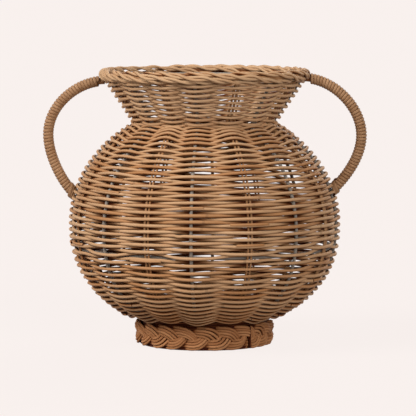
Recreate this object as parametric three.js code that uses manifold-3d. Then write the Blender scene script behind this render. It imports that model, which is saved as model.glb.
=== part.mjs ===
// Rattan vase: a round-bellied basket with a narrow neck, a flared collar and two bow handles.
// Eight steel rods, welded to three hoops, stand between eight pairs of thin rattan stakes.
// Cane is woven in front of and behind them from the base to the collar, a thicker wale and a
// rolled border close the rim, and the vase stands on a plaited foot ring.
// Millimetres, +Z up, origin on the table under the middle of the foot. Handles lie along X.
import * as THREE from "three";
import { mergeVertices } from "three/addons/utils/BufferGeometryUtils.js";
import Module from "manifold-3d";

const wasm = await Module();
wasm.setup();

// Driving dimensions
const CLEARANCE = 0.3; // gap left between pieces that touch

const HEIGHT = 300; // table to the top of the border
const RIM_RADIUS = 108.5; // axis to the middle of the border
const BORDER_DIAMETER = 12; // thickness of the rolled border
const NECK_RADIUS = 72; // where belly and collar would meet in a sharp corner
const NECK_Z = 239.5;
const WAIST_ROUNDING = 6; // how softly the belly turns into the collar
const BELLY_RADIUS = 143.5; // axis to the stakes at the widest place
const BELLY_Z = 131;
const LOWER_FULLNESS = 2.25; // exponent of the lower belly's curve, 2 being an ellipse
const UPPER_FULLNESS = 2;
const BASE_RADIUS = 76; // axis to the lower ends of the stakes
const FOOT_HEIGHT = 26;
const FOOT_RADIUS = 76.5; // outside of the plaited foot
const FOOT_THICKNESS = 8;
const FOOT_ROUNDING = 2.5; // corners of the plaited band

const STAKE_PLACES = 16; // steel rods and pairs of canes take turns
const ROD_DIAMETER = 3.6;
const HOOP_DIAMETER = 3.6;
const CANE_DIAMETER = 2.4;
const CANE_SPACING = 3.8; // middle to middle of the two canes of a pair
const WEAVER_DIAMETER = 3.3;
const ROW_PITCH = 3.52; // row to row of the weave, along the wall
const ROW_RELIEF = 2; // how far the wall lies back at a row that passes behind a stake
const BELLY_HOOP_Z = 106;
const WALE_HEIGHT = 9; // thicker rows under the border
const WALE_LIP = 3; // how far the wale's outside rises round the border
const WALE_STEP = 6; // how far its inside stays below the stakes' ends, for the rim hoop

const STICK_DIAMETER = 3.6; // bottom sticks, three one way and three across
const STICK_SPACING = 6;
const STICKS_EACH_WAY = 3;

const HANDLE_CORE_DIAMETER = 7.2;
const HANDLE_OVERHANG = 27.5; // how far the bow stands out past the belly, at its middle line
const HANDLE_REACH_Z = 228; // where it stands out most
const HANDLE_TOP_DROP = 4; // handle's upper end below the middle of the border
const HANDLE_SOCKET = 4; // how deep the upper end sits in the border
const HANDLE_LOW_Z = 168; // where the lower end meets the stakes
const HANDLE_LOW_SLOPE = 44; // degrees above level of the lower end
const HANDLE_TOP_PULL = 26; // how long the bow keeps the direction of each end
const HANDLE_REACH_PULL_UP = 32;
const HANDLE_REACH_PULL_DOWN = 24;
const HANDLE_LOW_PULL = 18;

const WRAP_TURNS = 40; // split cane wound round each handle
const WRAP_THICKNESS = 1.5;
const WRAP_GAP = 0.9; // between turns, on the handle's middle line
const LASH_TURNS = 2; // cane that ties the lower end to the wall
const LASH_DIAMETER = 2.6;
const LASH_GAP = 0.9;

// Fineness of the faces
const COLUMNS_PER_STAKE = 2;
const HOOP_SIDES = 6;
const RING_STEPS = 32;
const BORDER_SIDES = 8;
const CORE_SIDES = 8;
const CORE_STEPS = 24;
const TURN_STEPS = 8;
const LOWER_STEPS = 4;
const UPPER_STEPS = 6;
const COLLAR_STEPS = 3;

// Sizes that follow from them
const rodRadius = ROD_DIAMETER / 2;
const hoopRadius = HOOP_DIAMETER / 2;
const coreRadius = HANDLE_CORE_DIAMETER / 2;
const borderRadius = BORDER_DIAMETER / 2;
const borderZ = HEIGHT - borderRadius;
const wallAtStake = rodRadius + WEAVER_DIAMETER; // half the wall, weavers in front and behind
const wallBetween = WEAVER_DIAMETER / 2; // half the wall where the weavers cross
const seatZ = FOOT_HEIGHT + CLEARANCE;
const baseZ = seatZ + wallAtStake;
const stakeAngle = (2 * Math.PI) / STAKE_PLACES;
const columns = STAKE_PLACES * COLUMNS_PER_STAKE;

// Profile of the stakes. The belly is two quarters of full ellipses that pass through the base and
// the neck, the collar is a straight cone from the neck to the border, and the larger of the two
// radii counts, with the corner between them rounded.
const fullCurve = (share, power) => (1 - share ** power) ** (1 / power);
const lowerHalfHeight = (BELLY_Z - baseZ) / fullCurve(BASE_RADIUS / BELLY_RADIUS, LOWER_FULLNESS);
const upperHalfHeight = (NECK_Z - BELLY_Z) / fullCurve(NECK_RADIUS / BELLY_RADIUS, UPPER_FULLNESS);
const collarSlope = (RIM_RADIUS - NECK_RADIUS) / (borderZ - NECK_Z);
const collarLength = Math.hypot(RIM_RADIUS - NECK_RADIUS, borderZ - NECK_Z);
const stakeEndShare = (borderRadius + CLEARANCE) / collarLength;
const topZ = borderZ - (borderZ - NECK_Z) * stakeEndShare;
const waleZ = topZ - (WALE_HEIGHT * (borderZ - NECK_Z)) / collarLength;

function profileRadius(z) {
  if (z < BELLY_Z) {
    return BELLY_RADIUS * fullCurve((BELLY_Z - z) / lowerHalfHeight, LOWER_FULLNESS);
  }
  const share = Math.min(1, (z - BELLY_Z) / upperHalfHeight);
  const belly = BELLY_RADIUS * fullCurve(share, UPPER_FULLNESS);
  const collar = NECK_RADIUS + collarSlope * (z - NECK_Z);
  return (belly + collar + Math.hypot(belly - collar, WAIST_ROUNDING)) / 2;
}

// Point of the profile with its upward tangent and outward normal, as radius and height.
function profileAt(z) {
  const step = 0.01;
  const slope = (profileRadius(z + step) - profileRadius(z - step)) / (2 * step);
  const point = new THREE.Vector2(profileRadius(z), z);
  const tangent = new THREE.Vector2(slope, 1).normalize();
  const normal = new THREE.Vector2(tangent.y, -tangent.x);
  return { point, tangent, normal };
}

// Lengths along the profile at heights spaced evenly from low to high.
function lengthsAlong(low, high, fine) {
  const lengths = [0];
  for (let i = 1; i <= fine; i++) {
    const z0 = low + ((high - low) * (i - 1)) / fine;
    const z1 = low + ((high - low) * i) / fine;
    lengths.push(lengths[i - 1] + Math.hypot(z1 - z0, profileRadius(z1) - profileRadius(z0)));
  }
  return lengths;
}

// Heights from low to high that divide the profile into stretches of equal length.
function evenHeights(low, high, count) {
  const fine = 400;
  const lengths = lengthsAlong(low, high, fine);
  const heights = [low];
  for (let k = 1; k < count; k++) {
    const want = (lengths[fine] * k) / count;
    const i = lengths.findIndex((length) => length >= want);
    const share = (want - lengths[i - 1]) / (lengths[i] - lengths[i - 1]);
    heights.push(low + ((high - low) * (i - 1 + share)) / fine);
  }
  return [...heights, high];
}

const hoopGap = hoopRadius + CLEARANCE; // either way of a hoop, between rows
const baseHoopZ = baseZ + hoopGap * profileAt(baseZ).tangent.y;
const rimHoopZ = topZ - 0.5 * hoopRadius * profileAt(topZ).tangent.y;
const lowerHeights = evenHeights(baseHoopZ, BELLY_HOOP_Z, LOWER_STEPS);
const upperHeights = evenHeights(BELLY_HOOP_Z, NECK_Z, UPPER_STEPS);
const collarHeights = evenHeights(NECK_Z, waleZ, COLLAR_STEPS);
const waleHeights = [waleZ, topZ];
const stakeHeights = [
  ...[baseZ, ...lowerHeights],
  ...upperHeights.slice(1),
  ...[...collarHeights.slice(1), topZ],
];
const channelHeights = [...stakeHeights, topZ + 2 * WALE_LIP];

// Rows of weave between two heights, counted on from the first row. Even rows pass in front of the
// rods, odd ones in front of the cane pairs.
function weaveRows(low, high, first) {
  const count = Math.round(lengthsAlong(low, high, 400).at(-1) / ROW_PITCH);
  const middles = evenHeights(low, high, 2 * count).filter((_, i) => i % 2 === 1);
  return middles.map((z, k) => ({ z, isEven: (first + k) % 2 === 0 }));
}

const besideHoop = (z, side) => z + side * hoopGap * profileAt(z).tangent.y;
const lowerRows = weaveRows(besideHoop(baseHoopZ, 1), besideHoop(BELLY_HOOP_Z, -1), 0);
const waistZ = NECK_Z - 1.5 * WAIST_ROUNDING; // above it the wall bends too sharply for single rows
const upperRows = weaveRows(besideHoop(BELLY_HOOP_Z, 1), NECK_Z, lowerRows.length).filter(
  ({ z }) => z < waistZ,
);

// The line that a stake follows, in the XZ plane, through the given heights.
class StakeLine extends THREE.Curve {
  constructor(heights) {
    super();
    this.heights = heights;
  }

  getPoint(t, target = new THREE.Vector3()) {
    const last = this.heights.length - 1;
    const place = Math.min(Math.max(t, 0), 1) * last;
    const i = Math.min(Math.floor(place), last - 1);
    const z = this.heights[i] + (this.heights[i + 1] - this.heights[i]) * (place - i);
    return target.set(profileRadius(z), 0, z);
  }

  getUtoTmapping(u) {
    return u;
  }
}

// Solids for cutting

function solidOf(geometry) {
  const bare = geometry.clone();
  bare.deleteAttribute("normal");
  bare.deleteAttribute("uv");
  const merged = mergeVertices(bare, 1e-3);
  return new wasm.Manifold(
    new wasm.Mesh({
      numProp: 3,
      vertProperties: new Float32Array(merged.attributes.position.array),
      triVerts: new Uint32Array(merged.index.array),
    }),
  );
}

function geometryOf(solid) {
  const mesh = solid.getMesh();
  const geometry = new THREE.BufferGeometry();
  const positions = new Float32Array(mesh.numVert * 3);
  for (let i = 0; i < mesh.numVert; i++) {
    const start = i * mesh.numProp;
    positions.set(mesh.vertProperties.subarray(start, start + 3), i * 3);
  }
  geometry.setAttribute("position", new THREE.BufferAttribute(positions, 3));
  geometry.setIndex(new THREE.BufferAttribute(new Uint32Array(mesh.triVerts), 1));
  geometry.computeVertexNormals();
  return geometry;
}

function cut(geometry, tools) {
  let solid = solidOf(geometry);
  for (const tool of tools) solid = solid.subtract(solidOf(tool));
  return geometryOf(solid);
}

// Closed surface through rings of points. Each ring closes on itself, and so does the row of
// rings where it is a loop; an open row gets a flat cap at either end.
function loft(rings, isLoop) {
  const sides = rings[0].length;
  const positions = rings.flat().flatMap((p) => [p.x, p.y, p.z]);
  const index = [];
  const lastRing = isLoop ? rings.length : rings.length - 1;
  for (let i = 0; i < lastRing; i++) {
    const next = (i + 1) % rings.length;
    for (let j = 0; j < sides; j++) {
      const k = (j + 1) % sides;
      const [a, b, c, d] = [i * sides + j, i * sides + k, next * sides + k, next * sides + j];
      index.push(a, b, c, a, c, d);
    }
  }
  if (!isLoop) {
    const end = (rings.length - 1) * sides;
    for (let j = 1; j < sides - 1; j++) {
      index.push(0, j + 1, j, end, end + j, end + j + 1);
    }
  }
  const geometry = new THREE.BufferGeometry();
  geometry.setAttribute("position", new THREE.Float32BufferAttribute(positions, 3));
  geometry.setIndex(index);
  return geometry;
}

// Solid turned about the axis from an outline of radius and height.
function turned(outline, steps = RING_STEPS) {
  const points = outline.map(([r, z]) => new THREE.Vector2(r, z));
  const quarter = Math.PI / 2;
  return new THREE.LatheGeometry(points, steps).rotateX(quarter).rotateZ(quarter);
}

function circleShape(radius, sides, x = 0) {
  const points = [];
  for (let i = 0; i < sides; i++) {
    const angle = ((i + 0.5) * 2 * Math.PI) / sides;
    points.push(new THREE.Vector2(x + radius * Math.cos(angle), radius * Math.sin(angle)));
  }
  return new THREE.Shape(points);
}

// Box-shaped section, wide along the wall and thin across it.
function slotShape(width, depth) {
  const [x, y] = [width / 2, depth / 2];
  return new THREE.Shape([
    new THREE.Vector2(-x, -y),
    new THREE.Vector2(x, -y),
    new THREE.Vector2(x, y),
    new THREE.Vector2(-x, y),
  ]);
}

function alongStake(shape, heights) {
  const settings = {
    steps: heights.length - 1,
    extrudePath: new StakeLine(heights),
    bevelEnabled: false,
  };
  return new THREE.ExtrudeGeometry(shape, settings);
}

// Stakes: steel rods at even places, pairs of canes at odd ones

const rodSides = 6;
const caneSides = 4;
const rodGeometry = alongStake(circleShape(rodRadius, rodSides), stakeHeights);
const caneGeometries = [-1, 1].map((side) =>
  alongStake(circleShape(CANE_DIAMETER / 2, caneSides, (side * CANE_SPACING) / 2), stakeHeights),
);
const rodSlot = ROD_DIAMETER + 2 * CLEARANCE;
const caneSlot = CANE_DIAMETER + 2 * CLEARANCE;
const rodChannel = alongStake(slotShape(rodSlot, rodSlot), channelHeights);
const caneChannel = alongStake(slotShape(CANE_SPACING + caneSlot, caneSlot), channelHeights);

function stakeChannels() {
  const channels = [];
  for (let place = 0; place < STAKE_PLACES; place++) {
    const channel = place % 2 === 0 ? rodChannel : caneChannel;
    channels.push(channel.clone().rotateZ(place * stakeAngle));
  }
  return channels;
}

// Hoops: steel rings welded to the inner side of the rods

function hoopCentre(z) {
  const { point, normal } = profileAt(z);
  return point.addScaledVector(normal, -(rodRadius + hoopRadius + CLEARANCE));
}

function hoopGeometry(z) {
  const centre = hoopCentre(z);
  const geometry = new THREE.TorusGeometry(centre.x, hoopRadius, HOOP_SIDES, columns);
  return geometry.translate(0, 0, centre.y);
}

const hoopHeights = {
  base_hoop: baseHoopZ,
  belly_hoop: BELLY_HOOP_Z,
  rim_hoop: rimHoopZ,
};

// Handle bow, in the XZ plane: from its socket in the border out to the reach and back to the wall

const lowDirection = new THREE.Vector2(1, 0).rotateAround(
  new THREE.Vector2(),
  THREE.MathUtils.degToRad(HANDLE_LOW_SLOPE),
);
const lowSeat = profileAt(HANDLE_LOW_Z);
const lowTilt = Math.acos(lowDirection.dot(lowSeat.normal));
const lowGap = rodRadius + CLEARANCE + coreRadius * Math.sin(lowTilt); // stake to the core's end
const lowEnd = lowSeat.point.clone().addScaledVector(lowSeat.normal, lowGap);
const lowDepth = (wallAtStake - lowGap) / Math.cos(lowTilt); // length of core inside the wall
const topEndZ = borderZ - HANDLE_TOP_DROP;
const borderFace = RIM_RADIUS + Math.sqrt(borderRadius ** 2 - HANDLE_TOP_DROP ** 2);
const topEnd = new THREE.Vector2(borderFace - HANDLE_SOCKET, topEndZ);
const inPlane = (v, dx = 0, dz = 0) => new THREE.Vector3(v.x + dx, 0, v.y + dz);
const reach = new THREE.Vector2(BELLY_RADIUS + HANDLE_OVERHANG, HANDLE_REACH_Z);

class HandleBow extends THREE.Curve {
  constructor() {
    super();
    this.halves = [
      new THREE.CubicBezierCurve3(
        inPlane(topEnd),
        inPlane(topEnd, HANDLE_SOCKET + HANDLE_TOP_PULL, 0),
        inPlane(reach, 0, HANDLE_REACH_PULL_UP),
        inPlane(reach),
      ),
      new THREE.CubicBezierCurve3(
        inPlane(reach),
        inPlane(reach, 0, -HANDLE_REACH_PULL_DOWN),
        inPlane(lowEnd.clone().addScaledVector(lowDirection, HANDLE_LOW_PULL)),
        inPlane(lowEnd),
      ),
    ];
  }

  getPoint(t, target = new THREE.Vector3()) {
    const half = t < 0.5 ? 0 : 1;
    return this.halves[half].getPoint(2 * t - half, target);
  }
}

const bow = new HandleBow();
const bowLength = bow.getLength();

function coreGeometry(growth = 0) {
  const shape = circleShape(coreRadius + growth, CORE_SIDES);
  const settings = { steps: CORE_STEPS, extrudePath: bow, bevelEnabled: false };
  return new THREE.ExtrudeGeometry(shape, settings);
}

const bothSides = { right: 0, left: Math.PI };
const coreSockets = () =>
  Object.values(bothSides).map((turn) => coreGeometry(CLEARANCE).rotateZ(turn));

// Woven wall between two heights. It is thick at the stakes, with a weaver in front and one
// behind, and one weaver thick where they cross midway. Where rows are given, its outer side lies
// back at the stakes that they pass behind. Its ends are moved along the profile by functions of
// the distance outside the stakes. Stakes and handle ends run in channels.
function wovenWall(heights, moveLow, moveHigh, rows) {
  const stay = () => 0;
  const ringAt = (z, side, move, liesBack = () => false) => {
    const { point, tangent, normal } = profileAt(z);
    return Array.from({ length: columns }, (_, j) => {
      const wave = (1 + Math.cos((2 * Math.PI * j) / COLUMNS_PER_STAKE)) / 2;
      const thickness = wallBetween + (wallAtStake - wallBetween) * wave;
      const out = side * (liesBack(j) ? thickness - ROW_RELIEF : thickness);
      const place = point.clone().addScaledVector(normal, out).addScaledVector(tangent, move(out));
      const angle = (2 * Math.PI * j) / columns;
      return new THREE.Vector3(place.x * Math.cos(angle), place.x * Math.sin(angle), place.y);
    });
  };
  const rowRing = ({ z, isEven }) =>
    ringAt(z, 1, stay, (j) => j % (2 * COLUMNS_PER_STAKE) === (isEven ? COLUMNS_PER_STAKE : 0));
  const plainRings = (side) => heights.slice(1, -1).map((z) => ringAt(z, side, stay));
  const ends = (side) => [
    ringAt(heights[0], side, moveLow),
    ringAt(heights.at(-1), side, moveHigh),
  ];
  const wall = (side, rings) => ends(side).toSpliced(1, 0, ...rings);
  const outer = wall(1, rows?.map(rowRing) ?? plainRings(1));
  const inner = wall(-1, plainRings(-1));
  const tools = [...stakeChannels(), ...coreSockets(), borderRing(CLEARANCE)];
  return cut(loft([...outer, ...inner.reverse()], true), tools);
}

const atHeight = () => 0;
const aboveGap = () => CLEARANCE;
const belowHoop = () => -hoopGap;
const aboveHoop = () => hoopGap;
const roundBorder = (out) => (out * (out > 0 ? WALE_LIP : WALE_STEP)) / wallAtStake;

// Round pieces

function borderRing(growth = 0) {
  const ring = new THREE.TorusGeometry(RIM_RADIUS, borderRadius + growth, BORDER_SIDES, RING_STEPS);
  return ring.translate(0, 0, borderZ);
}

function footGeometry() {
  const inside = FOOT_RADIUS - FOOT_THICKNESS;
  const round = FOOT_ROUNDING;
  const outline = [
    [inside + round, 0],
    [FOOT_RADIUS - round, 0],
    [FOOT_RADIUS, round],
    [FOOT_RADIUS, FOOT_HEIGHT - round],
    [FOOT_RADIUS - round, FOOT_HEIGHT],
    [inside + round, FOOT_HEIGHT],
    [inside, FOOT_HEIGHT - round],
    [inside, round],
    [inside + round, 0],
  ];
  return turned(outline);
}

// Base: a woven disc whose edge lies along the wall's lower end
const baseEnd = profileAt(baseZ);
const baseEdge = (z) => {
  const run = (z - baseZ) * (baseEnd.normal.x / baseEnd.normal.y);
  return BASE_RADIUS + run - CLEARANCE / baseEnd.tangent.x;
};
const baseTopZ = baseZ + wallAtStake;
const stickLift = (STICK_DIAMETER + CLEARANCE) / 2; // either way of the base's middle height

function stickLength(offset) {
  return 2 * (Math.sqrt(baseEdge(baseTopZ) ** 2 - offset ** 2) - CLEARANCE);
}

function stickGeometry(diameter, length) {
  const geometry = new THREE.CylinderGeometry(diameter / 2, diameter / 2, length, rodSides);
  return geometry.rotateZ(Math.PI / 2);
}

const sticks = [];
for (let i = 0; i < STICKS_EACH_WAY; i++) {
  const offset = (i - (STICKS_EACH_WAY - 1) / 2) * STICK_SPACING;
  sticks.push({ name: `base_stick_long_${i + 1}`, offset, turn: 0, z: baseZ - stickLift });
  sticks.push({
    name: `base_stick_cross_${i + 1}`,
    offset,
    turn: Math.PI / 2,
    z: baseZ + stickLift,
  });
}

function baseGeometry() {
  const outline = [
    [0, seatZ],
    [baseEdge(seatZ), seatZ],
    [baseEdge(baseTopZ), baseTopZ],
    [0, baseTopZ],
  ];
  const channels = sticks.map(({ offset, turn, z }) => {
    const channel = stickGeometry(STICK_DIAMETER + 2 * CLEARANCE, 3 * BASE_RADIUS);
    return channel.translate(0, offset, 0).rotateZ(turn).translate(0, 0, z);
  });
  return cut(turned(outline, columns), channels);
}

// Windings on the handle: one unbroken strip that climbs the bow turn by turn. Its section is
// given as pairs of distance along the bow and height above the core.
function winding(from, to, turns, section) {
  const steps = turns * TURN_STEPS;
  const across = new THREE.Vector3(0, 1, 0);
  const chordRise = 1 / Math.cos(Math.PI / TURN_STEPS); // keeps the strip's chords off the core
  const inside = (coreRadius + CLEARANCE) * chordRise;
  const ringAt = (i) => {
    const u = (from + ((to - from) * i) / steps) / bowLength;
    const tangent = bow.getTangentAt(u);
    const side = new THREE.Vector3().crossVectors(tangent, across);
    const angle = (i * 2 * Math.PI) / TURN_STEPS;
    const away = across.clone().multiplyScalar(Math.cos(angle));
    away.addScaledVector(side, Math.sin(angle));
    const middle = bow.getPointAt(u);
    return section.map(([along, height]) =>
      middle
        .clone()
        .addScaledVector(away, inside + height)
        .addScaledVector(tangent, along),
    );
  };
  const rings = Array.from({ length: steps + 1 }, (_, i) => ringAt(i));
  const width = Math.max(...section.map(([along]) => along)) * 2;
  const straightEnd = (end, before) => {
    const run = end[0].clone().sub(before[0]).setLength(width);
    return end.map((p) => p.clone().add(run));
  };
  const start = straightEnd(rings[0], rings[1]);
  const finish = straightEnd(rings[steps], rings[steps - 1]);
  return [start, ...rings, finish];
}

function leastGap(rings) {
  let least = Infinity;
  const [near, far] = [Math.round(TURN_STEPS * 0.6), Math.round(TURN_STEPS * 1.4)];
  rings.forEach((ring, i) => {
    for (const other of rings.slice(i + near, i + far + 1)) {
      for (const p of ring) {
        for (const q of other) least = Math.min(least, p.distanceTo(q));
      }
    }
  });
  return least;
}

const lashPitch = LASH_DIAMETER + LASH_GAP;
const lashOutside = coreRadius + CLEARANCE + LASH_DIAMETER;
const lashRun = lashOutside * Math.tan(lowTilt) + LASH_DIAMETER / 2 + CLEARANCE; // off the wall
const lashEnd = bowLength - lowDepth - lashRun;
const lashStart = lashEnd - LASH_TURNS * lashPitch;
const borderClear = HANDLE_SOCKET + RIM_RADIUS + borderRadius - borderFace; // out of the border
const wrapLength = (lashStart - lashPitch / 2 - borderClear) * (WRAP_TURNS / (WRAP_TURNS + 1));
const wrapPitch = wrapLength / WRAP_TURNS;
const wrapStart = borderClear + wrapPitch / 2;
const wrapHalf = (wrapPitch - WRAP_GAP) / 2;
const wrapSection = [
  [wrapHalf, 0],
  [wrapHalf * 0.8, WRAP_THICKNESS * 0.7],
  [0, WRAP_THICKNESS],
  [-wrapHalf * 0.8, WRAP_THICKNESS * 0.7],
  [-wrapHalf, 0],
];
const lashSection = [0, 1, 2, 3, 4].map((i) => {
  const angle = Math.PI * (1.5 + (2 * i) / 5);
  const radius = LASH_DIAMETER / 2;
  return [radius * Math.cos(angle), radius + radius * Math.sin(angle)];
});
const wrapRings = winding(wrapStart, wrapStart + wrapLength, WRAP_TURNS, wrapSection);
const lashRings = winding(lashStart, lashEnd, LASH_TURNS, lashSection);
console.log(`handle wrap: least gap between turns ${leastGap(wrapRings).toFixed(2)} mm`);
console.log(`handle lash: least gap between turns ${leastGap(lashRings).toFixed(2)} mm`);

// Finishes

function finish(colour, roughness, metalness = 0) {
  return new THREE.MeshStandardMaterial({ color: colour, roughness, metalness });
}

const weaverCane = finish(0xa87f58, 0.6);
const stakeCane = finish(0xb08a60, 0.6);
const borderCane = finish(0xb08860, 0.55);
const footCane = finish(0x7c5335, 0.65);
const handleCane = finish(0x9c754f, 0.5);
const handlePole = finish(0xc0a078, 0.7);
const greySteel = finish(0x9a9894, 0.5, 0.6);

// Assembly

const vase = new THREE.Group();

function add(name, geometry, material, parent = vase) {
  const mesh = new THREE.Mesh(geometry, material);
  mesh.name = name;
  parent.add(mesh);
  return mesh;
}

add("foot_braid", footGeometry(), footCane);
add("base_weave", baseGeometry(), weaverCane);
for (const { name, offset, turn, z } of sticks) {
  const group = new THREE.Group();
  group.rotation.z = turn;
  vase.add(group);
  const stick = add(name, stickGeometry(STICK_DIAMETER, stickLength(offset)), stakeCane, group);
  stick.position.set(0, offset, z);
}

add("lower_belly_weave", wovenWall(lowerHeights, aboveHoop, belowHoop, lowerRows), weaverCane);
add("upper_belly_weave", wovenWall(upperHeights, aboveHoop, atHeight, upperRows), weaverCane);
add("collar_weave", wovenWall(collarHeights, aboveGap, atHeight), weaverCane);
add("rim_wale", wovenWall(waleHeights, aboveGap, roundBorder), borderCane);
add("rim_border", cut(borderRing(), coreSockets()), borderCane);

for (const [name, z] of Object.entries(hoopHeights)) add(name, hoopGeometry(z), greySteel);

for (let place = 0; place < STAKE_PLACES; place++) {
  const number = Math.floor(place / 2) + 1;
  const turn = place * stakeAngle;
  if (place % 2 === 0) {
    add(`frame_rod_${number}`, rodGeometry, greySteel).rotation.z = turn;
    continue;
  }
  caneGeometries.forEach((geometry, i) => {
    add(`stake_cane_${number}${"ab"[i]}`, geometry, stakeCane).rotation.z = turn;
  });
}

for (const [side, turn] of Object.entries(bothSides)) {
  const handle = new THREE.Group();
  handle.rotation.z = turn;
  vase.add(handle);
  add(`${side}_handle_core`, coreGeometry(), handlePole, handle);
  add(`${side}_handle_wrap`, loft(wrapRings, false), handleCane, handle);
  add(`${side}_handle_lash`, loft(lashRings, false), handleCane, handle);
}

export default vase;
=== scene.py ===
"""Rattan vase: round cane woven over steel rods and thin cane stakes, with a rolled border,
a plaited foot and two bow handles wound with split cane.

Every cane is a round or flat section carried along a path. Paths on the wall are worked out
from the stakes' profile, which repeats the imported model's sizes. Metres, +Z up, front is -Y.
"""

import bpy
import numpy as np
from bpy.props import FloatProperty, FloatVectorProperty, IntProperty, PointerProperty
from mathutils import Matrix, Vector


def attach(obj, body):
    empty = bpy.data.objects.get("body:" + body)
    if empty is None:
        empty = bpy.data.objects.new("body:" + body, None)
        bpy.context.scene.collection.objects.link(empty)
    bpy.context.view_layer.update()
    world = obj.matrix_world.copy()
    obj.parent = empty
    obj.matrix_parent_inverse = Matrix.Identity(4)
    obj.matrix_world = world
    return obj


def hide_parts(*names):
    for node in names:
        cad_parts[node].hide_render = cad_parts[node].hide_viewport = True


bl_info = {
    "name": "Rattan Vase",
    "version": (1, 0, 0),
    "blender": (4, 5, 0),
    "location": "3D View > Sidebar > Vase",
    "description": "Builds a woven rattan vase piece by piece round its packed model",
    "category": "Object",
}

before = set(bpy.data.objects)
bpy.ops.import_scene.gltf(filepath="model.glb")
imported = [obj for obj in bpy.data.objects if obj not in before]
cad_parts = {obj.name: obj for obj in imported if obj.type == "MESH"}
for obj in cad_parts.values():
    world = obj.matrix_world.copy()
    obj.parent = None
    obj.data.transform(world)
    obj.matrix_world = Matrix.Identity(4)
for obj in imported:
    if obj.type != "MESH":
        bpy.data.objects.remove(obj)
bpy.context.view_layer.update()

TURN = 2 * np.pi
CLEARANCE = 0.0003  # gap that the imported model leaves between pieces

# Stakes
STAKE_PAIRS = 8  # steel rods, and as many pairs of thin canes between them
# How far each stake stands off its even place, in degrees, from the front rod towards +X
STAKE_DRIFT = (-2.6, 0, 0.6, 0.4, 0, -0.8, 1.1, 0.5, -0.9, 0.7, -0.6, 0.8, 0, -0.5, 0, 0.4)
STAKE_POINTS = 90  # points along a stake
STEPS_PER_STAKE = 14  # points of a row from one stake to the next

# Unevenness of the woven rows, in metres unless said
LEVEL_JITTER = 0.07  # of the pitch
WANDER = ((0.0005, 2, 31, 0.7), (0.0004, 5, -47, 2.1))  # size, waves round, radians a metre up, phase
OWN_WANDER = 0.00018  # of each row by itself
DROOP, DROOP_FADE = 0.0035, 0.016  # at the stakes by the base, and how soon it fades upwards
LEAN, LEAN_REACH = 0.0027, 0.007  # of rows over the belly hoop, and from how far
CANE_TURNS = (1.6, 3.2)  # shortest and longest cane, in turns round the vase
TONE_SPREAD, GIRTH_SPREAD = 0.23, 0.045  # shares, from cane to cane
SPLICE_REACH = (0.07, 0.14)  # half a splice's length, in radians
SPLICE_RISE, SPLICE_OUT, SPLICE_RADIUS = 0.3, 0.0007, 0.45  # of the pitch, outwards, of the weaver

# The shoulder, where rows arch over the cane pairs
SHOULDER_HEIGHT, SHOULDER_SPREAD = 0.2275, 0.016
SHOULDER_OUT, SHOULDER_ARCH = 0.0022, 0.003  # how far pairs stand out and rows rise

# The collar, whose canes are paler and a little thicker
COLLAR_START, COLLAR_BLEND = 0.243, 0.003  # height, and softness along the wall
COLLAR_PALER, COLLAR_THICKER, COLLAR_CLOSENESS = 0.35, 0.01, 1.06

# Small gaps between rows: turns, lengths along the wall and widths by chance
GAP_COUNT, GAP_MOVE = 46, 0.00055
GAP_TURNS, GAP_LEVELS, GAP_WIDTHS = (0, TURN), (0.02, 0.33), (0.15, 0.27)
GAP_EDGE, GAP_FADE = 0.001, 0.018

# Where thin canes leave the weave open: degrees from the front towards +X, height, share thinner
THIN_PLACES = (
    (33, 0.092, 0.22),
    (147, 0.072, 0.22),
    (25, 0.27, 0.38),
    (161, 0.255, 0.48),
    (-51, 0.085, 0.2),
    (237, 0.07, 0.2),
    (46, 0.188, 0.22),
    (140, 0.172, 0.22),
)
THIN_WIDTH, THIN_HEIGHT = 0.25, 0.02  # radians round the vase, metres along the wall

# The plaited foot
PLAIT_CANE = 0.0029  # thickness of its canes
FOOT_SEAM, SEAM_SLIT = 0.775, 0.026  # angle of the seam from the front, and the seam's width in radians

# Pulls of a handle's curves: out of the border, above the reach, below the reach, off the wall
HANDLE_PULLS = (0.026, 0.032, 0.024, 0.018)

# Lamps: name, place, strength, angle
LAMPS = (
    ("key_light", (-2.45, -1.4, 2.05), 3.3, 0.6),
    ("fill_light", (1.2, -2.3, 1.15), 2.05, 0.7),
    ("back_light", (1.0, 2.2, 1.6), 1.2, 0.8),
)


def length(name, description, default):
    """A size in metres for a property group."""
    return FloatProperty(
        name=name, description=description, default=default, min=0, unit="LENGTH", precision=5
    )


def colour(name, description, default):
    """A linear colour for a property group."""
    return FloatVectorProperty(
        name=name, description=description, default=default, size=3, min=0, max=1, subtype="COLOR"
    )


class VaseForm(bpy.types.PropertyGroup):
    """Outer shape of the vase, measured to the line of the stakes"""

    height: length("Height", "Table to the top of the border", 0.3)
    rim_radius: length("Rim radius", "Axis to the middle of the border", 0.1085)
    border_diameter: length("Border", "Thickness of the rolled border", 0.012)
    neck_radius: length("Neck radius", "Where belly and collar would meet", 0.072)
    neck_height: length("Neck height", "Height where belly and collar would meet", 0.2395)
    waist_rounding: length("Waist rounding", "How softly belly turns into collar", 0.006)
    belly_radius: length("Belly radius", "Axis to the stakes at the widest place", 0.1435)
    belly_height: length("Belly height", "Height of the widest place", 0.131)
    lower_fullness: FloatProperty(
        name="Lower fullness", description="Exponent of the lower belly's curve", default=2.25
    )
    base_radius: length("Base radius", "Axis to the stakes' lower ends", 0.076)
    foot_height: length("Foot height", "Height of the plaited foot", 0.026)
    foot_radius: length("Foot radius", "Outside of the plaited foot", 0.0765)
    foot_thickness: length("Foot thickness", "Thickness of the plaited band", 0.008)
    hoop_height: length("Belly hoop height", "Height of the hoop in the belly", 0.106)
    wale_height: length("Wale height", "Rows under the border, along the wall", 0.009)


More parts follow.
